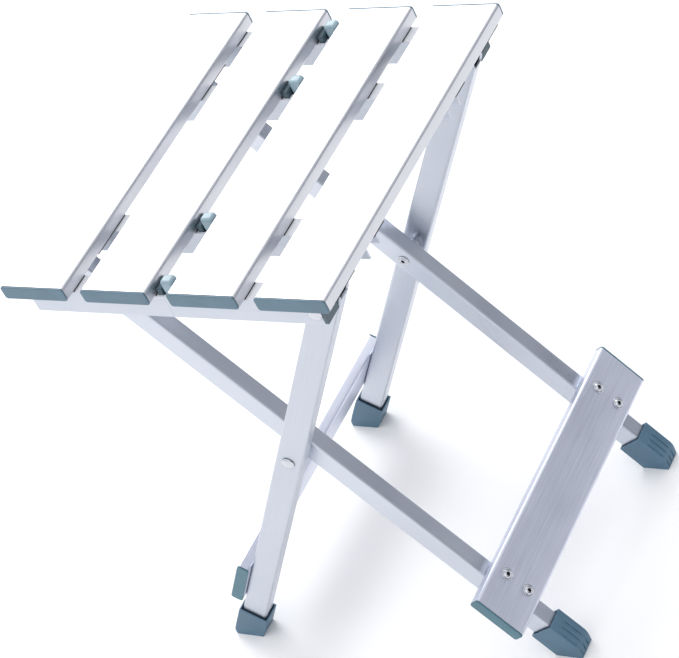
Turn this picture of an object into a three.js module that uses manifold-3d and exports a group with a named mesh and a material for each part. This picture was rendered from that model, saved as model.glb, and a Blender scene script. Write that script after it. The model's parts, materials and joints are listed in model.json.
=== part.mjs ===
// Folding stool with an aluminium slat seat on an X frame. Millimetres, +Z up.
// X runs across the slats, Y runs along them, and the floor is z = 0 under the middle of the seat.
// The seat is two panels hinged in the middle. Frame A hangs from the right panel and frame B from
// the left panel, and lifting the middle of the seat closes the two frames like scissors.
import * as THREE from 'three';
import { mergeVertices } from 'three/addons/utils/BufferGeometryUtils.js';
import Module from 'manifold-3d';

const wasm = await Module();
wasm.setup();

// ---- Driving dimensions ----
const SEAT_HEIGHT = 377;
const SLAT = { width: 50, thick: 10, length: 259, wall: 1.2, corner: 2 };
const GAP_MIDDLE = 16;
const GAP_OUTER = 14;
const CAP_FLANGE = 1.5;
const RAIL = { width: 15, height: 18, wall: 1.4, end: 111, pluggedEnd: 106.5, plugFlange: 2 };
const OUTER_RAIL_Y = 115;
const INNER_RAIL_Y = 61.1;
const LEG = { width: 18, thick: 12.4, wall: 1.2, end: 417 };
const LEG_ANGLE = THREE.MathUtils.degToRad(33);
const A_LEG_Y = 101;
const B_LEG_Y = 83.5;
const PIVOT_X = 103;
const PLATE = {
  thick: 9,
  flange: 1.5,
  width: { a: 42.5, b: 40 },
  length: { a: 221, b: 226 },
  along: { a: 357.5, b: 359.5 },
};
const BOOT = { wall: 1, slack: 0.9, collar: 397, toeRound: 3, reach: { a: 139, b: 136 } };
const KNUCKLE = { radius: 3.9, pin: 1.8, tongue: 1.3, fork: 1.6, cheek: 3.6, reach: 30 };
const BLOCK = {
  right: { start: -2.9, end: 5.8, half: 3.5, outward: 1.8, belowSeat: 0.5 },
  left: { start: -4.1, end: -7.7, half: 5.8, outward: 0, belowSeat: 6 },
};
const HEAD = { radius: 4.4, height: 1.4 };
const PIN_RADIUS = 2.4;
const GAP = 0.3;
const ENDS = [['near', -1], ['far', 1]];

// ---- Worked out from them ----
const slatBottom = SEAT_HEIGHT - SLAT.thick;
const railTop = slatBottom - 0.2;
const railBottom = railTop - RAIL.height;
const pivotZ = slatBottom - LEG.width / 2 - 0.5;
const crossZ = pivotZ - PIVOT_X / Math.tan(LEG_ANGLE);
const crossAlong = PIVOT_X / Math.sin(LEG_ANGLE);
const innerWidth = RAIL.width - 2 * RAIL.wall;
const seam = { left: -3.65, right: -3.35 };
const slatCentres = {
  1: -(GAP_MIDDLE / 2 + SLAT.width * 1.5 + GAP_OUTER),
  2: -(GAP_MIDDLE / 2 + SLAT.width / 2),
  3: GAP_MIDDLE / 2 + SLAT.width / 2,
  4: GAP_MIDDLE / 2 + SLAT.width * 1.5 + GAP_OUTER,
};

// ---- Finishes ----
const finish = (color, roughness, metalness) => ({ color, roughness, metalness });
const SLAT_METAL = finish(0xdfe1e6, 0.38, 0.85);
const RAIL_METAL = finish(0xc6cad4, 0.42, 0.85);
const STEEL = finish(0xc9cbd0, 0.25, 1.0);
const CAP_PLASTIC = finish(0x6f8d9c, 0.55, 0.0);
const HINGE_PLASTIC = finish(0x86a6b3, 0.5, 0.0);
const BOOT_PLASTIC = finish(0x4f6e80, 0.6, 0.0);

const stool = new THREE.Group();
stool.name = 'folding_stool';

function add(name, shape, look) {
  const geometry = shape.isBufferGeometry ? shape : toGeometry(shape);
  const mesh = new THREE.Mesh(geometry, new THREE.MeshStandardMaterial(look));
  mesh.name = name;
  stool.add(mesh);
  return mesh;
}

// ---- Solids ----
function toSolid(geometry) {
  const bare = geometry.clone();
  bare.deleteAttribute('normal');
  bare.deleteAttribute('uv');
  const welded = mergeVertices(bare, 1e-4);
  const mesh = new wasm.Mesh({
    numProp: 3,
    vertProperties: Float32Array.from(welded.attributes.position.array),
    triVerts: Uint32Array.from(welded.index.array),
  });
  return new wasm.Manifold(mesh);
}

function toGeometry(solid) {
  const mesh = solid.getMesh();
  const geometry = new THREE.BufferGeometry();
  geometry.setAttribute('position', new THREE.BufferAttribute(mesh.vertProperties, 3));
  geometry.setIndex(new THREE.BufferAttribute(mesh.triVerts, 1));
  geometry.computeVertexNormals();
  return geometry;
}

function box(x0, x1, y0, y1, z0, z1) {
  const geometry = new THREE.BoxGeometry(x1 - x0, y1 - y0, z1 - z0);
  geometry.translate((x0 + x1) / 2, (y0 + y1) / 2, (z0 + z1) / 2);
  return toSolid(geometry);
}

// A shape drawn in (x, z), given depth from y0 to y1.
function prismY(shape, y0, y1) {
  const geometry = new THREE.ExtrudeGeometry(shape, { depth: y1 - y0, bevelEnabled: false, curveSegments: 4 });
  geometry.rotateX(Math.PI / 2);
  geometry.translate(0, y1, 0);
  return toSolid(geometry);
}

// A shape drawn in (y, z), given length from x0 to x1.
function prismX(shape, x0, x1) {
  const geometry = new THREE.ExtrudeGeometry(shape, { depth: x1 - x0, bevelEnabled: false, curveSegments: 4 });
  const turn = new THREE.Matrix4().makeBasis(
    new THREE.Vector3(0, 1, 0),
    new THREE.Vector3(0, 0, 1),
    new THREE.Vector3(1, 0, 0),
  );
  geometry.applyMatrix4(turn);
  geometry.translate(x0, 0, 0);
  return toSolid(geometry);
}

// A turned part on an axis along Y: steps are [radius, y] from one end to the other.
function turned(steps, x, z) {
  const rising = steps[0][1] < steps[steps.length - 1][1] ? steps : [...steps].reverse();
  const profile = [
    new THREE.Vector2(0, rising[0][1]),
    ...rising.map(([radius, y]) => new THREE.Vector2(radius, y)),
    new THREE.Vector2(0, rising[rising.length - 1][1]),
  ];
  const geometry = new THREE.LatheGeometry(profile, 16);
  geometry.translate(x, 0, z);
  return toSolid(geometry);
}

function roundedRect(width, height, radius, cx, cy) {
  const right = cx + width / 2;
  const left = cx - width / 2;
  const top = cy + height / 2;
  const bottom = cy - height / 2;
  const shape = new THREE.Shape();
  shape.absarc(right - radius, bottom + radius, radius, -Math.PI / 2, 0);
  shape.absarc(right - radius, top - radius, radius, 0, Math.PI / 2);
  shape.absarc(left + radius, top - radius, radius, Math.PI / 2, Math.PI);
  shape.absarc(left + radius, bottom + radius, radius, Math.PI, Math.PI * 1.5);
  shape.closePath();
  return shape;
}

// The section of a slat or a plate: a flat tube with rounded corners.
function flatTube(width, height, cx, cy) {
  const shape = roundedRect(width, height, SLAT.corner, cx, cy);
  const bore = roundedRect(
    width - 2 * SLAT.wall, height - 2 * SLAT.wall, SLAT.corner - SLAT.wall, cx, cy,
  );
  shape.holes.push(bore);
  return shape;
}

// ---- Seat slats and their end caps ----
function addSlat(number) {
  const x = slatCentres[number];
  const z = SEAT_HEIGHT - SLAT.thick / 2;
  const half = SLAT.length / 2;
  const section = flatTube(SLAT.width, SLAT.thick, x, z);
  add(`slat_${number}`, prismY(section, -half, half), SLAT_METAL);
  for (const [end, sign] of ENDS) {
    const cap = endCap(SLAT.width, SLAT.thick, x, z, half, CAP_FLANGE, sign);
    add(`slat_${number}_cap_${end}`, cap, CAP_PLASTIC);
  }
}

// A flange over the cut end of a hollow section, with a plug that fits inside it.
function endCap(width, height, x, z, half, flange, sign) {
  const inset = SLAT.wall + GAP;
  const start = half + 0.1;
  const outline = roundedRect(width, height, SLAT.corner, x, z);
  const plug = roundedRect(width - 2 * inset, height - 2 * inset, SLAT.corner - SLAT.wall, x, z);
  const span = (a, b) => (sign > 0 ? [a, b] : [-b, -a]);
  const cover = prismY(outline, ...span(start, half + flange));
  return cover.add(prismY(plug, ...span(half - 10, start + 1)));
}

// ---- Rails: channels, open underneath, cut in the middle of the seat ----
function channelSection(y) {
  const outer = RAIL.width / 2;
  const inner = outer - RAIL.wall;
  const shape = new THREE.Shape();
  shape.moveTo(y - outer, railBottom);
  shape.lineTo(y - inner, railBottom);
  shape.lineTo(y - inner, railTop - RAIL.wall);
  shape.lineTo(y + inner, railTop - RAIL.wall);
  shape.lineTo(y + inner, railBottom);
  shape.lineTo(y + outer, railBottom);
  shape.lineTo(y + outer, railTop);
  shape.lineTo(y - outer, railTop);
  shape.closePath();
  return shape;
}

// Half a rail, with a notch in its top for the neck of the hinge block.
function halfRail(side, y, plugged) {
  const outerEnd = plugged ? RAIL.pluggedEnd : RAIL.end;
  const x0 = side === 'right' ? seam.right : -outerEnd;
  const x1 = side === 'right' ? outerEnd : seam.left;
  const block = BLOCK[side];
  const middle = y + Math.sign(y) * block.outward;
  const room = block.half + GAP;
  const notchEnd = block.end + Math.sign(block.end) * GAP;
  const notch = box(
    Math.min(seam[side] - 1, notchEnd),
    Math.max(seam[side] + 1, notchEnd),
    middle - room,
    middle + room,
    railTop - RAIL.wall - 1,
    railTop + 1,
  );
  const rail = prismX(channelSection(y), x0, x1).subtract(notch);
  return plugged ? rail.subtract(pivotHole(side === 'right' ? PIVOT_X : -PIVOT_X, pivotZ)) : rail;
}

// A hole along Y that clears a rivet shank, right across the stool.
function pivotHole(x, z) {
  const radius = PIN_RADIUS + GAP;
  return turned([[radius, -SLAT.length], [radius, SLAT.length]], x, z);
}

// ---- Middle hinge: a fork on the left half of each rail and a tongue on the right half ----
// A barrel or a hole on the hinge axis of the rail at y.
function onHingeAxis(radius, y, half) {
  return turned([[radius, y - half], [radius, y + half]], 0, railBottom);
}

// A block in the gap between the middle slats, which comes up through the notch in the rail.
function hingeBlock(side, y) {
  const block = BLOCK[side];
  const middle = y + Math.sign(y) * block.outward;
  const bottom = railTop - RAIL.wall - 2;
  const top = SEAT_HEIGHT - block.belowSeat;
  const x = (block.start + block.end) / 2;
  const outline = roundedRect(Math.abs(block.end - block.start), top - bottom, 1.2, x, (top + bottom) / 2);
  return prismY(outline, middle - block.half, middle + block.half);
}

function hingeTongue(y) {
  const side = innerWidth / 2 - GAP;
  const start = KNUCKLE.radius + 0.5;
  const armTop = railBottom + start + 1;
  const stem = box(start, KNUCKLE.reach, y - side, y + side, railBottom + GAP, railTop - RAIL.wall - GAP);
  const arm = box(0, start + 1, y - KNUCKLE.tongue, y + KNUCKLE.tongue, railBottom + GAP, armTop);
  return stem
    .add(arm)
    .add(onHingeAxis(KNUCKLE.radius, y, KNUCKLE.tongue))
    .add(onHingeAxis(KNUCKLE.pin, y, KNUCKLE.cheek))
    .add(hingeBlock('right', y));
}

function hingeFork(y) {
  const side = innerWidth / 2 - GAP;
  const stem = box(
    -KNUCKLE.reach, seam.left, y - side, y + side, railBottom + GAP, railTop - RAIL.wall - GAP,
  );
  const arm = box(
    seam.left - 1, 0, y - KNUCKLE.cheek, y + KNUCKLE.cheek, railBottom + GAP, railBottom + 3,
  );
  const slotEnd = KNUCKLE.radius + 1;
  const slot = box(
    -9, slotEnd, y - KNUCKLE.fork, y + KNUCKLE.fork, railBottom - slotEnd, railBottom + slotEnd,
  );
  return stem
    .add(arm)
    .add(onHingeAxis(KNUCKLE.radius, y, KNUCKLE.cheek))
    .subtract(slot)
    .subtract(onHingeAxis(KNUCKLE.pin + GAP, y, KNUCKLE.cheek + 1))
    .add(hingeBlock('left', y));
}

// A plug that closes the outer end of a rail.
function railPlug(side, y) {
  const sign = side === 'right' ? 1 : -1;
  const span = (a, b) => (sign > 0 ? [a, b] : [-b, -a]);
  const middle = (railTop + railBottom) / 2;
  const outline = roundedRect(RAIL.width, RAIL.height, 1, y, middle);
  const stemWidth = innerWidth - 2 * GAP;
  const stem = roundedRect(stemWidth, RAIL.height - 2 * (RAIL.wall + GAP), 1, y, middle);
  const start = RAIL.pluggedEnd + 0.1;
  const cover = prismX(outline, ...span(start, RAIL.pluggedEnd + RAIL.plugFlange));
  return cover.add(prismX(stem, ...span(start - 0.5, start + 1)));
}

// ---- Leg frames. A leg hangs from its pivot and is swung by the leg angle. ----
// side is -1 for frame A and +1 for frame B, and is the side that faces outward.
function place(solid, side) {
  const degrees = -side * THREE.MathUtils.radToDeg(LEG_ANGLE);
  return solid.rotate([0, degrees, 0]).translate([-side * PIVOT_X, 0, pivotZ]);
}

function leg(y) {
  const half = LEG.width / 2;
  const shape = new THREE.Shape();
  shape.moveTo(-half, -LEG.end);
  shape.lineTo(half, -LEG.end);
  shape.absarc(0, 0, half, 0, Math.PI);
  shape.closePath();
  const outer = prismY(shape, y - LEG.thick / 2, y + LEG.thick / 2);
  const inside = LEG.thick / 2 - LEG.wall;
  const hollow = box(-half + LEG.wall, half - LEG.wall, y - inside, y + inside, -LEG.end - 1, half + 1);
  return outer
    .subtract(hollow)
    .subtract(pivotHole(0, 0))
    .subtract(pivotHole(0, -crossAlong));
}

// A cup over the foot of the leg, with a flat sole on the floor and an upright toe.
function boot(y, side, reach) {
  const width = LEG.width / 2 + BOOT.slack + BOOT.wall;
  const depth = LEG.thick / 2 + BOOT.slack + BOOT.wall;
  const sin = Math.sin(LEG_ANGLE);
  const cos = Math.cos(LEG_ANGLE);
  // A point of the outline, from its distance to the middle of the stool and its height.
  const corner = (distance, height) => [
    side * ((distance + PIVOT_X) * cos + (height - pivotZ) * sin),
    (height - pivotZ) * cos - (distance + PIVOT_X) * sin,
  ];
  const heelAlong = (pivotZ - width * sin) / cos;
  const toeAlong = (reach + PIVOT_X - width * cos) / sin;
  const toeHeight = pivotZ - toeAlong * cos + width * sin;
  const shape = new THREE.Shape();
  shape.moveTo(-side * width, -BOOT.collar);
  shape.lineTo(-side * width, -heelAlong);
  shape.lineTo(...corner(reach, 0));
  shape.lineTo(...corner(reach, toeHeight - BOOT.toeRound));
  shape.quadraticCurveTo(side * width, -toeAlong, side * width, BOOT.toeRound - toeAlong);
  shape.lineTo(side * width, -BOOT.collar);
  shape.closePath();
  const pocketWidth = LEG.width / 2 + BOOT.slack;
  const pocketDepth = LEG.thick / 2 + BOOT.slack;
  const pocket = box(
    -pocketWidth, pocketWidth, y - pocketDepth, y + pocketDepth, -LEG.end - GAP, -BOOT.collar + 5,
  );
  return prismY(shape, y - depth, y + depth).subtract(pocket);
}

function addFrame(letter, side, legY, pivotAt) {
  const outward = side * (LEG.width / 2 + 0.2 + PLATE.thick / 2);
  const half = PLATE.length[letter] / 2;
  const width = PLATE.width[letter];
  const along = -PLATE.along[letter];
  const section = flatTube(PLATE.thick, width, outward, along);
  add(`frame_${letter}_plate`, place(prismY(section, -half, half), side), SLAT_METAL);
  for (const [end, sign] of ENDS) {
    const y = sign * legY;
    add(`frame_${letter}_leg_${end}`, place(leg(y), side), RAIL_METAL);
    add(`frame_${letter}_boot_${end}`, place(boot(y, side, BOOT.reach[letter]), side), BOOT_PLASTIC);
    const cap = endCap(PLATE.thick, width, outward, along, half, PLATE.flange, sign);
    add(`frame_${letter}_plate_cap_${end}`, place(cap, side), CAP_PLASTIC);
    add(`pivot_${letter}_${end}`, pivotAt(sign), STEEL);
  }
}

// ---- Rivets ----
// Frame A turns on a rivet through the outer rail and the leg beside it.
function pivotA(sign) {
  const outside = OUTER_RAIL_Y + RAIL.width / 2 + 0.1;
  const inside = A_LEG_Y - LEG.thick / 2 - GAP;
  return turned([
    [HEAD.radius - 1.4, sign * (outside + HEAD.height)],
    [HEAD.radius, sign * (outside + 0.4)],
    [HEAD.radius, sign * outside],
    [PIN_RADIUS, sign * outside],
    [PIN_RADIUS, sign * inside],
    [HEAD.radius - 0.8, sign * inside],
    [HEAD.radius - 0.8, sign * (inside - 1)],
  ], PIVOT_X, pivotZ);
}

// Frame B turns on a rivet through the leg and the inner rail, with a shoulder between the two.
function pivotB(sign) {
  const outside = B_LEG_Y + LEG.thick / 2 + GAP;
  const shoulderOut = B_LEG_Y - LEG.thick / 2 - GAP;
  const shoulderIn = INNER_RAIL_Y + RAIL.width / 2 + 0.1;
  const inside = INNER_RAIL_Y - RAIL.width / 2 - 0.1;
  return turned([
    [HEAD.radius - 1.4, sign * (outside + HEAD.height)],
    [HEAD.radius, sign * (outside + 0.4)],
    [HEAD.radius, sign * outside],
    [PIN_RADIUS, sign * outside],
    [PIN_RADIUS, sign * shoulderOut],
    [HEAD.radius + 0.6, sign * shoulderOut],
    [HEAD.radius + 0.6, sign * shoulderIn],
    [PIN_RADIUS, sign * shoulderIn],
    [PIN_RADIUS, sign * inside],
    [HEAD.radius - 0.8, sign * inside],
    [HEAD.radius - 0.8, sign * (inside - 1)],
  ], -PIVOT_X, pivotZ);
}

// The crossing rivet is in two pieces: a headed half with a shoulder in leg A, and its tail in leg B.
function crossHead(sign) {
  const outside = A_LEG_Y + LEG.thick / 2 + 0.1;
  const shoulderOut = A_LEG_Y - LEG.thick / 2 - 0.1;
  const shoulderIn = B_LEG_Y + LEG.thick / 2 + GAP;
  return turned([
    [HEAD.radius - 1.4, sign * (outside + HEAD.height)],
    [HEAD.radius, sign * (outside + 0.4)],
    [HEAD.radius, sign * outside],
    [PIN_RADIUS, sign * outside],
    [PIN_RADIUS, sign * shoulderOut],
    [HEAD.radius + 0.6, sign * shoulderOut],
    [HEAD.radius + 0.6, sign * shoulderIn],
  ], 0, crossZ);
}

function crossTail(sign) {
  const outside = B_LEG_Y + LEG.thick / 2;
  const inside = B_LEG_Y - LEG.thick / 2 - 0.1;
  return turned([
    [PIN_RADIUS, sign * outside],
    [PIN_RADIUS, sign * inside],
    [HEAD.radius - 0.6, sign * inside],
    [HEAD.radius - 0.6, sign * (inside - 1.6)],
  ], 0, crossZ);
}

// A plate rivet is a low dome that sits on the plate over the leg.
function plateRivet(y, along) {
  const seat = LEG.width / 2 + 0.2 + PLATE.thick + 0.1;
  const dome = turned([[4.2, 0], [3.6, 0.9], [1.8, 1.5]], 0, 0);
  return place(dome.rotate([0, 0, -90]).translate([seat, y, -along]), 1);
}

// ---- Assembly ----
for (const number of [1, 2, 3, 4]) addSlat(number);

const rails = [
  ['outer_near', -OUTER_RAIL_Y],
  ['inner_near', -INNER_RAIL_Y],
  ['inner_far', INNER_RAIL_Y],
  ['outer_far', OUTER_RAIL_Y],
];
for (const [name, y] of rails) {
  const outer = Math.abs(y) === OUTER_RAIL_Y;
  add(`rail_right_${name}`, halfRail('right', y, outer), RAIL_METAL);
  add(`rail_left_${name}`, halfRail('left', y, !outer), RAIL_METAL);
  add(`hinge_tongue_${name}`, hingeTongue(y), HINGE_PLASTIC);
  add(`hinge_fork_${name}`, hingeFork(y), HINGE_PLASTIC);
  add(`rail_plug_${name}`, railPlug(outer ? 'right' : 'left', y), CAP_PLASTIC);
}

addFrame('a', -1, A_LEG_Y, pivotA);
addFrame('b', 1, B_LEG_Y, pivotB);

for (const [end, sign] of ENDS) {
  add(`cross_rivet_${end}`, crossHead(sign), STEEL);
  add(`cross_rivet_tail_${end}`, crossTail(sign), STEEL);
  for (const [row, offset] of [['upper', -9.2], ['lower', 9.2]]) {
    add(`plate_rivet_${row}_${end}`, plateRivet(sign * B_LEG_Y, PLATE.along.b + offset), STEEL);
  }
}

export default stool;
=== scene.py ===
"""The looks of a folding aluminium stool: slats, rails, crossed legs, moulded caps and rivets.

Metres, +Z up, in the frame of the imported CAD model.
"""

import json
import math

import bmesh
import bpy
from mathutils import Matrix, Vector


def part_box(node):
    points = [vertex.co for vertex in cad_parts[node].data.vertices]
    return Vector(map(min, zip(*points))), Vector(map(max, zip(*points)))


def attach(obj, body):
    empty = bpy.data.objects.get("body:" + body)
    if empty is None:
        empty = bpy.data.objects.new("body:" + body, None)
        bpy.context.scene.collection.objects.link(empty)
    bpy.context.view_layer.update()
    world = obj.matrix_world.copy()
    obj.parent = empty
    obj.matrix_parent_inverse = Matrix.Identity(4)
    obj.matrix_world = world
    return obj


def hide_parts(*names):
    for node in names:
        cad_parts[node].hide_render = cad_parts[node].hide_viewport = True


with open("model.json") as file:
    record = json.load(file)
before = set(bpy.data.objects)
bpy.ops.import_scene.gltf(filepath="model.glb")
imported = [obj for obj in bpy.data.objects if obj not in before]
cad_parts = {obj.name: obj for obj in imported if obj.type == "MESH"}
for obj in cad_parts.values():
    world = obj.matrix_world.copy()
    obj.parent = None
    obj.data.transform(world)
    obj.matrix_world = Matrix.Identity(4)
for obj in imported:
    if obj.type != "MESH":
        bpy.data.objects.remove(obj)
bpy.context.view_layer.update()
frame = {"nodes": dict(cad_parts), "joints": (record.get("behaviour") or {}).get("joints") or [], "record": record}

MM = 0.001
NODES = frame["nodes"]
JOINTS = {joint["name"]: joint for joint in frame["joints"]}
BODY_OF = {
    node: body
    for body, members in frame["record"]["behaviour"]["bodies"].items()
    for node in members
}
ENDS = {"near": -1, "far": 1}

# ---- Sizes, from the frame and as in the CAD model ----
SLAT_CORNER = 2 * MM
CAP_GAP = 0.1 * MM
CAP_ROUNDING = 0.65 * MM
PIVOT_A = Vector(JOINTS["frame_a_fold"]["pos_m"])
PIVOT_B = Vector(JOINTS["frame_b_fold"]["pos_m"])
RAIL_WALL = 1.4 * MM
LEG_WIDTH = 18 * MM
LEG_WALL = 1.2 * MM
LEG_CORNER = 1.5 * MM
LEG_OPEN_DEPTH = 30 * MM
LEG_END = 417 * MM
PLATE_THICK = 9 * MM
PLATE_GAP = 0.2 * MM
PLATE_WIDTH = {"a": 42.5 * MM, "b": 40 * MM}
PLATE_ALONG = {"a": 357.5 * MM, "b": 359.5 * MM}
BOOT_FACE = LEG_WIDTH / 2 + 1.9 * MM
RIVET_HEAD = 1.4 * MM


def middle(node):
    low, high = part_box(node)
    return (low + high) / 2


def size(node):
    low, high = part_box(node)
    return high - low


CROSSING = middle("cross_rivet_near")
LEG_ANGLE = math.atan2(PIVOT_A.x, PIVOT_A.z - CROSSING.z)


# ---- Materials ----
def new_material(name):
    material = bpy.data.materials.new(name)
    material.use_nodes = True
    tree = material.node_tree
    return material, tree, tree.nodes["Principled BSDF"]


def stretched_noise(tree, scale, tilt=0.0, detail=4.0):
    """Noise in the piece's own space, with its own scale in x, y and z, leaning by tilt about y."""
    place = tree.nodes.new("ShaderNodeTexCoord")
    turn = tree.nodes.new("ShaderNodeMapping")
    turn.inputs["Rotation"].default_value = (0, tilt, 0)
    stretch = tree.nodes.new("ShaderNodeMapping")
    stretch.inputs["Scale"].default_value = scale
    noise = tree.nodes.new("ShaderNodeTexNoise")
    noise.inputs["Scale"].default_value = 1.0
    noise.inputs["Detail"].default_value = detail
    noise.inputs["Roughness"].default_value = 0.6
    tree.links.new(place.outputs["Object"], turn.inputs["Vector"])
    tree.links.new(turn.outputs["Vector"], stretch.inputs["Vector"])
    tree.links.new(stretch.outputs["Vector"], noise.inputs["Vector"])
    return noise.outputs["Fac"]


def spread(tree, value, low, high, start=0.3, end=0.7):
    """Maps a noise value from start..end to low..high."""
    node = tree.nodes.new("ShaderNodeMapRange")
    node.inputs["From Min"].default_value = start
    node.inputs["From Max"].default_value = end
    node.inputs["To Min"].default_value = low
    node.inputs["To Max"].default_value = high
    tree.links.new(value, node.inputs["Value"])
    return node.outputs["Result"]


def add(tree, first, second):
    node = tree.nodes.new("ShaderNodeMath")
    node.operation = "ADD"
    tree.links.new(first, node.inputs[0])
    tree.links.new(second, node.inputs[1])
    return node.outputs["Value"]


def blend_colours(tree, factor, low, high):
    node = tree.nodes.new("ShaderNodeMix")
    node.data_type = "RGBA"
    colours = [socket for socket in node.inputs if socket.type == "RGBA"]
    for socket, colour in zip(colours, (low, high)):
        if isinstance(colour, bpy.types.NodeSocket):
            tree.links.new(colour, socket)
        else:
            socket.default_value = (*colour, 1.0)
    tree.links.new(factor, node.inputs["Factor"])
    return next(socket for socket in node.outputs if socket.type == "RGBA")


def edge_mask(tree, radius):
    """About 1 on edges and 0 on flat faces, from how far the normal turns within the radius."""
    rounded = tree.nodes.new("ShaderNodeBevel")
    rounded.samples = 6
    rounded.inputs["Radius"].default_value = radius
    flat = tree.nodes.new("ShaderNodeNewGeometry")
    dot = tree.nodes.new("ShaderNodeVectorMath")
    dot.operation = "DOT_PRODUCT"
    tree.links.new(rounded.outputs["Normal"], dot.inputs[0])
    tree.links.new(flat.outputs["Normal"], dot.inputs[1])
    return spread(tree, dot.outputs["Value"], 1.0, 0.0, 0.86, 0.99)


def bump(tree, shader, height, strength, distance):
    node = tree.nodes.new("ShaderNodeBump")
    node.inputs["Strength"].default_value = strength
    node.inputs["Distance"].default_value = distance
    tree.links.new(height, node.inputs["Height"])
    tree.links.new(node.outputs["Normal"], shader.inputs["Normal"])


def shade(colour, amount):
    return tuple(min(1.0, channel * amount) for channel in colour)


def brushed_metal(name, colour, roughness, scale, tilt=0.0, contrast=0.03, metallic=1.0):
    """Drawn or brushed aluminium: fine streaks, softer clouds of wear, and bright worn edges."""
    material, tree, shader = new_material(name)
    shader.inputs["Metallic"].default_value = metallic
    streaks = stretched_noise(tree, scale, tilt, 3.0)
    clouds = stretched_noise(tree, (22, 22, 22), 0.0, 3.0)
    grain = spread(tree, streaks, 0.0, 1.0)
    base = blend_colours(tree, grain, shade(colour, 1 - contrast), shade(colour, 1 + contrast))
    edges = edge_mask(tree, 0.8 * MM)
    worn = blend_colours(tree, edges, base, shade(colour, 1.12))
    tree.links.new(worn, shader.inputs["Base Color"])
    streak_roughness = spread(tree, streaks, roughness - 0.03, roughness + 0.03)
    tree.links.new(
        add(tree, streak_roughness, spread(tree, clouds, -0.04, 0.05)),
        shader.inputs["Roughness"],
    )
    bump(tree, shader, streaks, 0.1, 0.02 * MM)
    return material


def paint_light_on_top(material, colour, metallic):
    """Paints light on the faces that look up, in the piece's own space: they get a paler and less metallic surface
    than the sides.
    """
    tree = material.node_tree
    shader = tree.nodes["Principled BSDF"]
    place = tree.nodes.new("ShaderNodeTexCoord")
    split = tree.nodes.new("ShaderNodeSeparateXYZ")
    tree.links.new(place.outputs["Normal"], split.inputs["Vector"])
    # Painted light: this mask is 1 on faces that look up.
    painted_light_top = spread(tree, split.outputs["Z"], 0.0, 1.0, 0.6, 0.95)
    side_colour = shader.inputs["Base Color"].links[0].from_socket
    tree.links.new(blend_colours(tree, painted_light_top, side_colour, colour), shader.inputs["Base Color"])
    tree.links.new(spread(tree, painted_light_top, metallic, 0.0, 0.0, 1.0), shader.inputs["Metallic"])


def moulded_plastic(name, colour, roughness):
    """Moulded plastic: a fine spark-eroded texture, faint flow marks and paler edges, partly rubbed wear and
    partly a painted highlight.
    """
    material, tree, shader = new_material(name)
    texture = stretched_noise(tree, (1800, 1800, 1800), 0.0, 2.0)
    flow = stretched_noise(tree, (60, 60, 60), 0.0, 3.0)
    cloudy = blend_colours(tree, spread(tree, flow, 0.0, 1.0), shade(colour, 0.9), shade(colour, 1.1))
    edges = edge_mask(tree, 0.7 * MM)
    # Paler edges: partly rubbed wear, partly a painted highlight along the rims.
    rubbed_and_highlit_edges = blend_colours(tree, edges, cloudy, shade(colour, 1.45))
    tree.links.new(rubbed_and_highlit_edges, shader.inputs["Base Color"])
    fine_roughness = spread(tree, texture, roughness - 0.06, roughness + 0.06)
    tree.links.new(
        add(tree, fine_roughness, spread(tree, flow, -0.04, 0.04)),
        shader.inputs["Roughness"],
    )
    bump(tree, shader, texture, 0.25, 0.06 * MM)
    return material


def polished_steel(name, colour, roughness):
    """Bright rivet steel with turning marks too fine to see one by one."""
    material, tree, shader = new_material(name)
    shader.inputs["Metallic"].default_value = 1.0
    marks = stretched_noise(tree, (900, 900, 900), 0.0, 3.0)
    base = blend_colours(tree, spread(tree, marks, 0.0, 1.0), shade(colour, 0.9), shade(colour, 1.06))
    tree.links.new(base, shader.inputs["Base Color"])
    tree.links.new(spread(tree, marks, roughness - 0.05, roughness + 0.08), shader.inputs["Roughness"])
    bump(tree, shader, marks, 0.08, 0.03 * MM)
    return material


SATIN = (0.60, 0.635, 0.70)
SLAT_METAL = brushed_metal("slat_brushed", (0.61, 0.62, 0.66), 0.34, (2600, 26, 2600))
PLATE_METAL = brushed_metal("plate_brushed", (0.70, 0.73, 0.83), 0.42, (2000, 20, 2000), contrast=0.11)
RAIL_METAL = brushed_metal("rail_drawn", SATIN, 0.40, (18, 1800, 1800), metallic=0.6)
# Painted light: the rail tops are paler than their sides, as if lit from above.
paint_light_on_top(RAIL_METAL, (0.88, 0.90, 0.94), 0.6)
LEG_A_METAL = brushed_metal("leg_a_drawn", shade(SATIN, 0.93), 0.36, (1800, 1800, 16), -LEG_ANGLE)
LEG_B_METAL = brushed_metal("leg_b_drawn", SATIN, 0.32, (1800, 1800, 16), LEG_ANGLE)
CAP_PLASTIC = moulded_plastic("cap_teal", (0.104, 0.184, 0.244), 0.40)
PLUG_PLASTIC = moulded_plastic("plug_grey_teal", (0.090, 0.130, 0.155), 0.50)
PLATE_CAP_PLASTIC = moulded_plastic("plate_cap_teal", (0.078, 0.180, 0.232), 0.44)
TONGUE_PLASTIC = moulded_plastic("tongue_pale_teal", (0.30, 0.42, 0.48), 0.25)
# Painted shade: the fork blocks sit low in the gap between the middle slats, so their teal is darkened.
FORK_PAINTED_SHADE = moulded_plastic("fork_teal_painted_shade", (0.055, 0.095, 0.12), 0.50)
BOOT_PLASTIC = moulded_plastic("boot_teal", (0.075, 0.155, 0.228), 0.46)
# Painted shadow: near-black pads that darken the contact lines under the slats.
PAD_PAINTED_SHADOW = moulded_plastic("pad_painted_shadow", (0.012, 0.013, 0.015), 0.70)
RIVET_STEEL = polished_steel("rivet_bright", (0.62, 0.64, 0.68), 0.12)
# Painted shade: a near-black disc for the inside of each hollow rivet's hole.
BORE_PAINTED_SHADE = moulded_plastic("rivet_bore_painted_shade", (0.006, 0.006, 0.007), 0.75)


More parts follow.
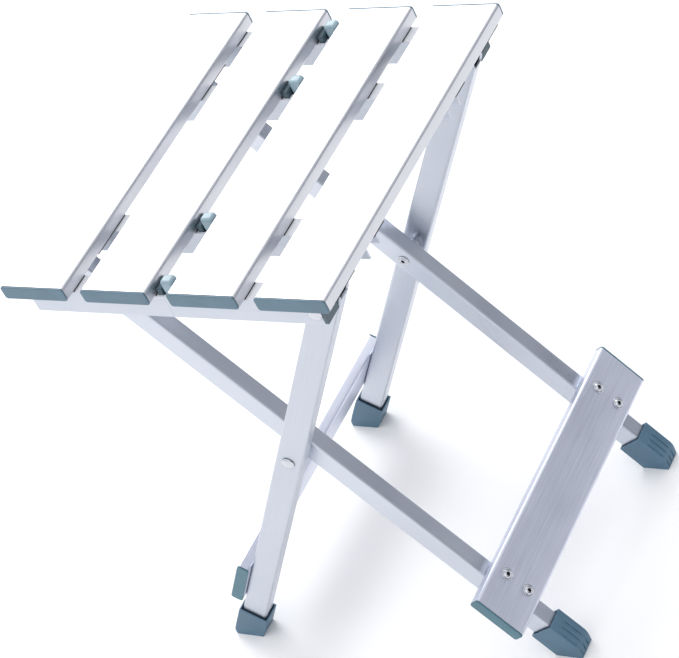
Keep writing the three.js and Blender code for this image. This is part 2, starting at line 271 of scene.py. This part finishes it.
# ---- Mesh helpers ----
def finish_piece(name, mesh, material, body, replaced=()):
    piece = bpy.data.objects.new(name, mesh)
    bpy.context.scene.collection.objects.link(piece)
    mesh.materials.append(material)
    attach(piece, body)
    if replaced:
        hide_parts(*replaced)
    return piece


def round_edges(piece, width, segments=3, clamp=True):
    """Rounded edges. Without the clamp the width has to be less than the radii already in the outline."""
    bevel = piece.modifiers.new("edges", "BEVEL")
    bevel.width = width
    bevel.segments = segments
    bevel.limit_method = "ANGLE"
    bevel.angle_limit = math.radians(32)
    bevel.harden_normals = True
    bevel.use_clamp_overlap = clamp


def rounded_rectangle(width, height, radius, steps=8):
    """Corner points in order, about the middle, with an arc at each corner."""
    points = []
    for quarter, (sx, sy) in enumerate(((1, -1), (1, 1), (-1, 1), (-1, -1))):
        centre = Vector((sx * (width / 2 - radius), sy * (height / 2 - radius)))
        start = (quarter - 1) * math.pi / 2
        for step in range(steps + 1):
            angle = start + step / steps * math.pi / 2
            points.append(centre + radius * Vector((math.cos(angle), math.sin(angle))))
    return points


def finer(outline, step):
    """The same closed outline with more points on its long edges."""
    points = []
    for here, there in zip(outline, outline[1:] + outline[:1]):
        parts = max(1, round((there - here).length / step))
        points += [here.lerp(there, part / parts) for part in range(parts)]
    return points


def finish_mesh(name, shape, smooth=True):
    """Turns a bmesh into a mesh. Without smooth, each face keeps the shading it has."""
    bmesh.ops.recalc_face_normals(shape, faces=shape.faces)
    if smooth:
        for face in shape.faces:
            face.smooth = True
    mesh = bpy.data.meshes.new(name)
    shape.to_mesh(mesh)
    shape.free()
    return mesh


def prism_mesh(name, outline, start, end, place):
    """An outline in (u, v) given length from start to end along w, put in place by a matrix."""
    shape = bmesh.new()
    rings = [
        [shape.verts.new(place @ Vector((point.x, point.y, w))) for point in outline]
        for w in (start, end)
    ]
    count = len(outline)
    for i in range(count):
        j = (i + 1) % count
        shape.faces.new((rings[0][i], rings[0][j], rings[1][j], rings[1][i]))
    shape.faces.new(list(reversed(rings[0])))
    shape.faces.new(rings[1])
    return finish_mesh(name, shape)


def turned_mesh(name, profile, place, segments=40):
    """A profile of (radius, height) points, turned about the w axis and put in place by a matrix."""
    shape = bmesh.new()
    angles = [2 * math.pi * i / segments for i in range(segments)]
    rings = []
    for radius, height in profile:
        if radius == 0:
            rings.append([shape.verts.new(place @ Vector((0, 0, height)))])
            continue
        rings.append([
            shape.verts.new(place @ Vector((radius * math.cos(a), radius * math.sin(a), height)))
            for a in angles
        ])
    for lower, upper in zip(rings, rings[1:]):
        for i in range(segments):
            j = (i + 1) % segments
            # A ring on the axis is one point, so its faces are triangles.
            corners = [
                lower[i % len(lower)], lower[j % len(lower)],
                upper[j % len(upper)], upper[i % len(upper)],
            ]
            shape.faces.new(list(dict.fromkeys(corners)))
    return finish_mesh(name, shape)


def axes(u, v, w, origin):
    """A matrix that takes (u, v, w) to the frame's own x, y and z."""
    columns = Matrix((u, v, w)).transposed().to_4x4()
    return Matrix.Translation(origin) @ columns


def dress(node, material, width, segments=2):
    """Keeps a CAD solid and gives it a finish and rounded edges."""
    piece = NODES[node]
    piece.data.materials.clear()
    piece.data.materials.append(material)
    weld = piece.modifiers.new("weld", "WELD")
    weld.merge_threshold = 0.01 * MM
    round_edges(piece, width, segments)


# ---- Slats and their caps ----
ALONG_X = ((0, 1, 0), (0, 0, 1), (1, 0, 0))
ALONG_Y = ((1, 0, 0), (0, 0, 1), (0, -1, 0))


def add_caps(node, outline, place, half, facing, material):
    """The flanges on both ends of a slat or a plate. facing is 1 where w runs along y, and -1 against it."""
    for end, sign in ENDS.items():
        cap = f"{node}_cap_{end}"
        low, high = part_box(cap)
        tip = high.y if sign > 0 else -low.y
        way = facing * sign
        flange = prism_mesh(cap, outline, way * (half + CAP_GAP), way * tip, place)
        piece = finish_piece(f"{cap}_skin", flange, material, BODY_OF[cap], [cap])
        round_edges(piece, CAP_ROUNDING, 4, clamp=False)


def add_slat(number):
    node = f"slat_{number}"
    extent = size(node)
    place = axes(*ALONG_Y, middle(node))
    outline = rounded_rectangle(extent.x, extent.z, SLAT_CORNER)
    mesh = prism_mesh(node, outline, -extent.y / 2, extent.y / 2, place)
    slat = finish_piece(f"{node}_skin", mesh, SLAT_METAL, BODY_OF[node], [node])
    round_edges(slat, 0.25 * MM, 2)
    add_caps(node, outline, place, extent.y / 2, -1, CAP_PLASTIC)


for number in (1, 2, 3, 4):
    add_slat(number)


# ---- Thin near-black pads between the slats and what carries them; their black is painted shadow along the contact lines ----
PAD_THICK = 0.6 * MM
# Thinner where a leg swings past underneath.
LEG_PAD_THICK = 0.4 * MM
# How far a pad stays inside the slat in x, and inside what it bears on in y.
PAD_INSET_X = 0.8 * MM
PAD_INSET_Y = 0.4 * MM
# The end slats also bear on the legs, outside the inner rails and inside the outer ones.
LEG_UNDER = {("inner", 1): "frame_b_leg_near", ("outer", 4): "frame_a_leg_near"}


def add_pad(slat, rail):
    """A pad under one slat, over one rail and the leg beside it, if there is one."""
    low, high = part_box(f"slat_{slat}")
    rail_low, rail_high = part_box(f"rail_left_{rail}")
    leg = LEG_UNDER.get((rail.split("_")[0], slat))
    edges = [abs(rail_low.y), abs(rail_high.y)]
    if leg:
        edges += [abs(corner.y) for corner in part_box(leg)]
    thick = LEG_PAD_THICK if leg else PAD_THICK
    half = (max(edges) - min(edges)) / 2 - PAD_INSET_Y
    y = math.copysign((max(edges) + min(edges)) / 2, rail_low.y)
    place = axes(*ALONG_Y, Vector(((low.x + high.x) / 2, y, low.z - thick / 2)))
    outline = rounded_rectangle(high.x - low.x - 2 * PAD_INSET_X, thick, 0.15 * MM, 3)
    name = f"pad_{slat}_{rail}"
    mesh = prism_mesh(name, outline, -half, half, place)
    pad = finish_piece(name, mesh, PAD_PAINTED_SHADOW, BODY_OF[f"slat_{slat}"])
    round_edges(pad, 0.12 * MM, 2)


# ---- Rails: channels that are open underneath, and meet in a hairline seam ----
SEAM = -3.5 * MM
HAIRLINE = 0.03 * MM
NOTCH_GAP = 0.3 * MM
RAIL_NAMES = ("outer_near", "inner_near", "inner_far", "outer_far")
# How far each hinge block reaches along the rail, and its sides, measured outward from the rail's middle.
BLOCKS = {
    "left": {"kind": "fork", "start": -7.7 * MM, "end": -4.1 * MM, "sides": (-5.8 * MM, 5.8 * MM)},
    "right": {"kind": "tongue", "start": -2.9 * MM, "end": 5.8 * MM, "sides": (-1.7 * MM, 5.3 * MM)},
}


def channel_mesh(name, extent, stations, notch, place):
    """A channel with its open side down, along w from the first station to the last.

    Its top is cut away between the notch's sides from the second station on: corners 3 and 4 are the
    notch's sides on the ceiling, and 10 and 9 are the same sides on the top.
    """
    half = extent.y / 2
    inside = half - RAIL_WALL
    top = extent.z / 2
    ceiling = top - RAIL_WALL
    corners = (
        (-half, -top), (-inside, -top), (-inside, ceiling), (notch[0], ceiling),
        (notch[1], ceiling), (inside, ceiling), (inside, -top), (half, -top),
        (half, top), (notch[1], top), (notch[0], top), (-half, top),
    )
    shape = bmesh.new()
    rings = [[shape.verts.new(place @ Vector((u, v, w))) for u, v in corners] for w in stations]
    first, second, last = rings
    count = len(corners)
    for i in range(count):
        j = (i + 1) % count
        shape.faces.new((first[i], first[j], second[j], second[i]))
        if i not in (3, 9):
            shape.faces.new((second[i], second[j], last[j], last[i]))
    for i, j in ((3, 10), (4, 9)):
        shape.faces.new((second[i], second[j], last[j], last[i]))
    shape.faces.new([second[i] for i in (3, 4, 9, 10)])
    shape.faces.new(first)
    shape.faces.new([last[i] for i in (0, 1, 2, 3, 10, 11)])
    shape.faces.new([last[i] for i in (4, 5, 6, 7, 8, 9)])
    return finish_mesh(name, shape)


def add_rail(side, name):
    node = f"rail_{side}_{name}"
    low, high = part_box(node)
    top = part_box("slat_1")[0].z - PAD_THICK
    extent = Vector((high.x - low.x, high.y - low.y, top - low.z))
    outward = math.copysign(1, middle(node).y)
    place = axes(*ALONG_X, Vector((0, middle(node).y, (top + low.z) / 2)))
    block = BLOCKS[side]
    if side == "left":
        stations = (low.x, block["start"] - NOTCH_GAP, SEAM - HAIRLINE)
    else:
        stations = (high.x, block["end"] + NOTCH_GAP, SEAM + HAIRLINE)
    notch = sorted(outward * (edge + math.copysign(NOTCH_GAP, edge)) for edge in block["sides"])
    mesh = channel_mesh(node, extent, stations, notch, place)
    rail = finish_piece(f"{node}_skin", mesh, RAIL_METAL, BODY_OF[node], [node])
    round_edges(rail, 0.2 * MM, 2)


def mesh_below(node, height):
    """A copy of a CAD solid without what stands above a height."""
    shape = bmesh.new()
    shape.from_mesh(NODES[node].data)
    shape.transform(NODES[node].matrix_world)
    bmesh.ops.remove_doubles(shape, verts=shape.verts, dist=0.01 * MM)
    parts = shape.verts[:] + shape.edges[:] + shape.faces[:]
    cut = bmesh.ops.bisect_plane(
        shape, geom=parts, plane_co=(0, 0, height), plane_no=(0, 0, 1), clear_outer=True)
    rim = [part for part in cut["geom_cut"] if isinstance(part, bmesh.types.BMEdge)]
    bmesh.ops.edgenet_fill(shape, edges=rim)
    return finish_mesh(node, shape, smooth=False)


def add_hinge_block(side, name, material, rounding):
    """A soft-edged block as the top of a hinge part, in the gap between the middle slats.

    Its rounded foot is hidden inside the rail, where the CAD solid goes on.
    """
    block = BLOCKS[side]
    node = f"hinge_{block['kind']}_{name}"
    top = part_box(node)[1].z
    rail_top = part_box(f"rail_left_{name}")[1].z
    bottom = rail_top - rounding
    lower = mesh_below(node, rail_top - 1 * MM)
    insert = finish_piece(f"{node}_insert", lower, material, BODY_OF[node], [node])
    round_edges(insert, 0.3 * MM, 2)
    outward = math.copysign(1, middle(node).y)
    rail_y = middle(f"rail_left_{name}").y
    sides = [rail_y + outward * edge for edge in block["sides"]]
    centre = Vector(((block["start"] + block["end"]) / 2, sum(sides) / 2, (top + bottom) / 2))
    proud = 0.25 * MM
    length = block["end"] - block["start"] + 2 * proud
    outline = rounded_rectangle(length, top - bottom + 2 * proud, rounding)
    half = abs(sides[1] - sides[0]) / 2 + proud
    mesh = prism_mesh(f"{node}_block", outline, -half, half, axes(*ALONG_Y, centre))
    piece = finish_piece(f"{node}_block", mesh, material, BODY_OF[node])
    round_edges(piece, rounding * 0.85, 5, clamp=False)


for name in RAIL_NAMES:
    add_rail("left", name)
    add_rail("right", name)
    dress(f"rail_plug_{name}", PLUG_PLASTIC, 0.6 * MM)
    add_hinge_block("left", name, FORK_PAINTED_SHADE, 1.2 * MM)
    add_hinge_block("right", name, TONGUE_PLASTIC, 2.4 * MM)
    for slat in (1, 2, 3, 4):
        add_pad(slat, name)


# ---- Leg frames ----
def leg_axes(side, y):
    """u out of the frame, v up the leg, w along y, from the leg's pivot. side is -1 for A, 1 for B."""
    pivot = PIVOT_A if side < 0 else PIVOT_B
    out = Vector((side * math.cos(LEG_ANGLE), 0, math.sin(LEG_ANGLE)))
    up = Vector((-side * math.sin(LEG_ANGLE), 0, math.cos(LEG_ANGLE)))
    return axes(out, up, Vector((0, 1, 0)), Vector((pivot.x, y, pivot.z)))


def ring_of(shape, outline, heights, place):
    return [
        shape.verts.new(place @ Vector((point.x, height, point.y)))
        for point, height in zip(outline, heights)
    ]


def leg_mesh(name, place, thick):
    """A flat tube with soft corners. Its top is cut to nearly a half round about the pivot, and is open."""
    shape = bmesh.new()
    outer = finer(rounded_rectangle(LEG_WIDTH, thick, LEG_CORNER), 1.2 * MM)
    shrink = Vector(((LEG_WIDTH - 2 * LEG_WALL) / LEG_WIDTH, (thick - 2 * LEG_WALL) / thick))
    inner = [Vector((point.x * shrink.x, point.y * shrink.y)) for point in outer]
    crown = [0.93 * math.sqrt(max(0, (LEG_WIDTH / 2) ** 2 - point.x ** 2)) for point in outer]
    rings = [
        ring_of(shape, outer, [-LEG_END] * len(outer), place),
        ring_of(shape, outer, [-0.2 * MM] * len(outer), place),
        ring_of(shape, outer, crown, place),
        ring_of(shape, inner, crown, place),
        ring_of(shape, inner, [-LEG_OPEN_DEPTH] * len(inner), place),
    ]
    for lower, upper in zip(rings, rings[1:]):
        for i in range(len(outer)):
            j = (i + 1) % len(outer)
            shape.faces.new((lower[i], lower[j], upper[j], upper[i]))
    shape.faces.new(list(reversed(rings[0])))
    shape.faces.new(rings[-1])
    mesh = finish_mesh(name, shape)
    mesh.set_sharp_from_angle(angle=math.radians(50))
    return mesh


def add_plate(letter, side):
    node = f"frame_{letter}_plate"
    out = LEG_WIDTH / 2 + PLATE_GAP + PLATE_THICK / 2
    place = leg_axes(side, 0) @ Matrix.Translation((out, -PLATE_ALONG[letter], 0))
    half = size(node).y / 2
    outline = rounded_rectangle(PLATE_THICK, PLATE_WIDTH[letter], SLAT_CORNER)
    mesh = prism_mesh(node, outline, -half, half, place)
    plate = finish_piece(f"{node}_skin", mesh, PLATE_METAL, BODY_OF[node], [node])
    round_edges(plate, 0.25 * MM, 2)
    add_caps(node, outline, place, half, 1, PLATE_CAP_PLASTIC)


RIB_START = 402 * MM
RIB_RISE = 0.7 * MM
RIB_WIDTH = 3 * MM
RIB_PITCH = 4.5 * MM


def add_boot_ribs(boot, side, body):
    """Three low grip ribs down the outer face of a boot and over its toe."""
    low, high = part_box(boot)
    reach = high.x if side > 0 else -low.x
    drop = PIVOT_A.z
    sin = math.sin(LEG_ANGLE)
    cos = math.cos(LEG_ANGLE)
    toe = (reach + PIVOT_A.x - BOOT_FACE * cos) / sin

    def on_toe(height, proud):
        """A point on the toe's upright front, that far above the floor and proud of the front."""
        distance = reach + proud + PIVOT_A.x
        return Vector((
            distance * cos + (height - drop) * sin,
            (height - drop) * cos - distance * sin,
        ))

    toe_height = drop - toe * cos + BOOT_FACE * sin
    outline = [
        Vector((BOOT_FACE - 1 * MM, -RIB_START)),
        Vector((BOOT_FACE + RIB_RISE, -RIB_START - 3 * MM)),
        Vector((BOOT_FACE + RIB_RISE, -(toe - 3 * MM))),
        Vector((BOOT_FACE - 0.1 * MM, -(toe - 0.6 * MM))),
        on_toe(toe_height - 3 * MM, RIB_RISE),
        on_toe(1.5 * MM, RIB_RISE),
        on_toe(1 * MM, -1 * MM),
    ]
    for rib in (1, 2, 3):
        place = leg_axes(side, (low.y + high.y) / 2 + (rib - 2) * RIB_PITCH)
        mesh = prism_mesh(f"{boot}_rib", outline, -RIB_WIDTH / 2, RIB_WIDTH / 2, place)
        piece = finish_piece(f"{boot}_rib_{rib}", mesh, BOOT_PLASTIC, body)
        round_edges(piece, 0.4 * MM, 3)


for letter, side, leg_metal in (("a", -1, LEG_A_METAL), ("b", 1, LEG_B_METAL)):
    add_plate(letter, side)
    for end in ENDS:
        node = f"frame_{letter}_leg_{end}"
        mesh = leg_mesh(node, leg_axes(side, middle(node).y), size(node).y)
        finish_piece(f"{node}_skin", mesh, leg_metal, BODY_OF[node], [node])
        boot = f"frame_{letter}_boot_{end}"
        dress(boot, BOOT_PLASTIC, 1.7 * MM, 4)
        add_boot_ribs(boot, side, BODY_OF[boot])


# ---- Rivets ----
def add_turned(name, profile, origin, outward, material, body, replaced=()):
    """A turned piece that stands on origin and points outward. The profile is in millimetres."""
    turn = Vector((0, 0, 1)).rotation_difference(outward).to_matrix().to_4x4()
    points = [(radius * MM, height * MM) for radius, height in profile]
    mesh = turned_mesh(name, points, Matrix.Translation(origin) @ turn)
    return finish_piece(name, mesh, material, body, replaced)


# Outlines of turned pieces, as (radius, height) in millimetres. Each stands on a flat surface.
DOME = (
    (0, -0.2), (3.9, -0.2), (3.9, 0.3), (4.7, 0.35), (4.75, 0.55), (4.4, 0.9),
    (3.4, 1.4), (2.0, 1.75), (0, 1.9),
)
RING = (
    (1.6, -0.2), (3.8, -0.2), (3.8, 0.2), (4.3, 0.25), (4.3, 0.5), (3.9, 0.65), (3.45, 0.6), (3.2, 0.2),
    (2.95, 0.7), (2.6, 1.3), (2.1, 1.55), (1.6, 1.45), (1.35, 1.1), (1.3, 0.1), (1.6, -0.2),
)
# A near-black disc low in each ring's hole: painted shade.
BORE = ((0, -0.2), (1.5, -0.2), (1.5, 0.15), (0, 0.15))


def add_ring(node, origin, outward):
    """The rolled end of a hollow rivet, with a near-black disc down its bore as painted shade."""
    add_turned(f"{node}_ring", RING, origin, outward, RIVET_STEEL, BODY_OF[node], [node])
    add_turned(f"{node}_bore", BORE, origin, outward, BORE_PAINTED_SHADE, BODY_OF[node])


for end, sign in ENDS.items():
    for kind in ("pivot_a", "pivot_b", "cross_rivet"):
        rivet = f"{kind}_{end}"
        dress(rivet, RIVET_STEEL, 0.15 * MM)
        low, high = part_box(rivet)
        foot = middle(rivet)
        foot.y = sign * (max(abs(low.y), abs(high.y)) - RIVET_HEAD)
        add_turned(f"{rivet}_dome", DOME, foot, Vector((0, sign, 0)), RIVET_STEEL, BODY_OF[rivet])
    tail = f"cross_rivet_tail_{end}"
    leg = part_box(f"frame_b_leg_{end}")
    foot = middle(tail)
    foot.y = sign * min(abs(corner.y) for corner in leg)
    add_ring(tail, foot, Vector((0, -sign, 0)))
    for row in ("upper", "lower"):
        rivet = f"plate_rivet_{row}_{end}"
        normal = leg_axes(1, 0).to_3x3() @ Vector((1, 0, 0))
        add_ring(rivet, middle(rivet), normal)


# ---- Floor, light and camera ----
def plain_floor(extent=8.0):
    mesh = bpy.data.meshes.new("floor")
    corners = [(-extent, -extent), (extent, -extent), (extent, extent), (-extent, extent)]
    mesh.from_pydata([(x, y, 0) for x, y in corners], [], [(0, 1, 2, 3)])
    floor = bpy.data.objects.new("floor", mesh)
    bpy.context.scene.collection.objects.link(floor)
    material, _, shader = new_material("floor_pale")
    shader.inputs["Base Color"].default_value = (0.95, 0.95, 0.95, 1)
    shader.inputs["Roughness"].default_value = 0.9
    mesh.materials.append(material)


def soft_sky():
    """A pale studio, brightest overhead, with one dim low side that shapes the metal."""
    world = bpy.data.worlds.new("studio")
    bpy.context.scene.world = world
    world.use_nodes = True
    tree = world.node_tree
    background = tree.nodes["Background"]
    direction = tree.nodes.new("ShaderNodeTexCoord")
    split = tree.nodes.new("ShaderNodeSeparateXYZ")
    tree.links.new(direction.outputs["Generated"], split.inputs["Vector"])
    towards = tree.nodes.new("ShaderNodeVectorMath")
    towards.operation = "DOT_PRODUCT"
    towards.inputs[1].default_value = (0.79, 0.56, 0.0)
    tree.links.new(direction.outputs["Generated"], towards.inputs[0])
    dimness = spread(tree, towards.outputs["Value"], 0.0, 1.0, -0.2, 0.75)
    low_side = blend_colours(tree, dimness, (0.80, 0.81, 0.85), (0.20, 0.22, 0.27))
    height = spread(tree, split.outputs["Z"], 0.0, 1.0, 0.15, 0.75)
    colour = blend_colours(tree, height, low_side, (1.15, 1.15, 1.17))
    tree.links.new(colour, background.inputs["Color"])


def softbox(name, position, target, width, power):
    light = bpy.data.lights.new(name, "AREA")
    light.shape = "SQUARE"
    light.size = width
    light.energy = power
    lamp = bpy.data.objects.new(name, light)
    lamp.location = position
    aim = Vector(target) - Vector(position)
    lamp.rotation_euler = aim.to_track_quat("-Z", "Y").to_euler()
    bpy.context.scene.collection.objects.link(lamp)


CAMERA = {"azimuth": 45.1, "elevation": 37.8, "roll": -28.6, "distance": 1.6385, "lens": 132.0}


def add_camera(target):
    azimuth = math.radians(CAMERA["azimuth"])
    elevation = math.radians(CAMERA["elevation"])
    offset = Vector((
        math.sin(azimuth) * math.cos(elevation),
        -math.cos(azimuth) * math.cos(elevation),
        math.sin(elevation),
    ))
    data = bpy.data.cameras.new("camera")
    data.sensor_fit = "HORIZONTAL"
    data.sensor_width = 36
    data.lens = CAMERA["lens"]
    camera = bpy.data.objects.new("camera", data)
    level = (-offset).to_track_quat("-Z", "Y").to_matrix().to_4x4()
    roll = Matrix.Rotation(math.radians(CAMERA["roll"]), 4, "Z")
    camera.matrix_world = Matrix.Translation(target + offset * CAMERA["distance"]) @ level @ roll
    bpy.context.scene.collection.objects.link(camera)
    bpy.context.scene.camera = camera


bpy.context.scene.view_settings.view_transform = "Standard"
plain_floor()
soft_sky()
softbox("key", (-1.4, 1.4, 2.0), (0, 0, 0.2), 1.6, 34)
softbox("front", (0.3, -2.2, 1.6), (0, 0, 0.2), 1.5, 3)
add_camera(Vector((0, -0.0084, 0.2205)))
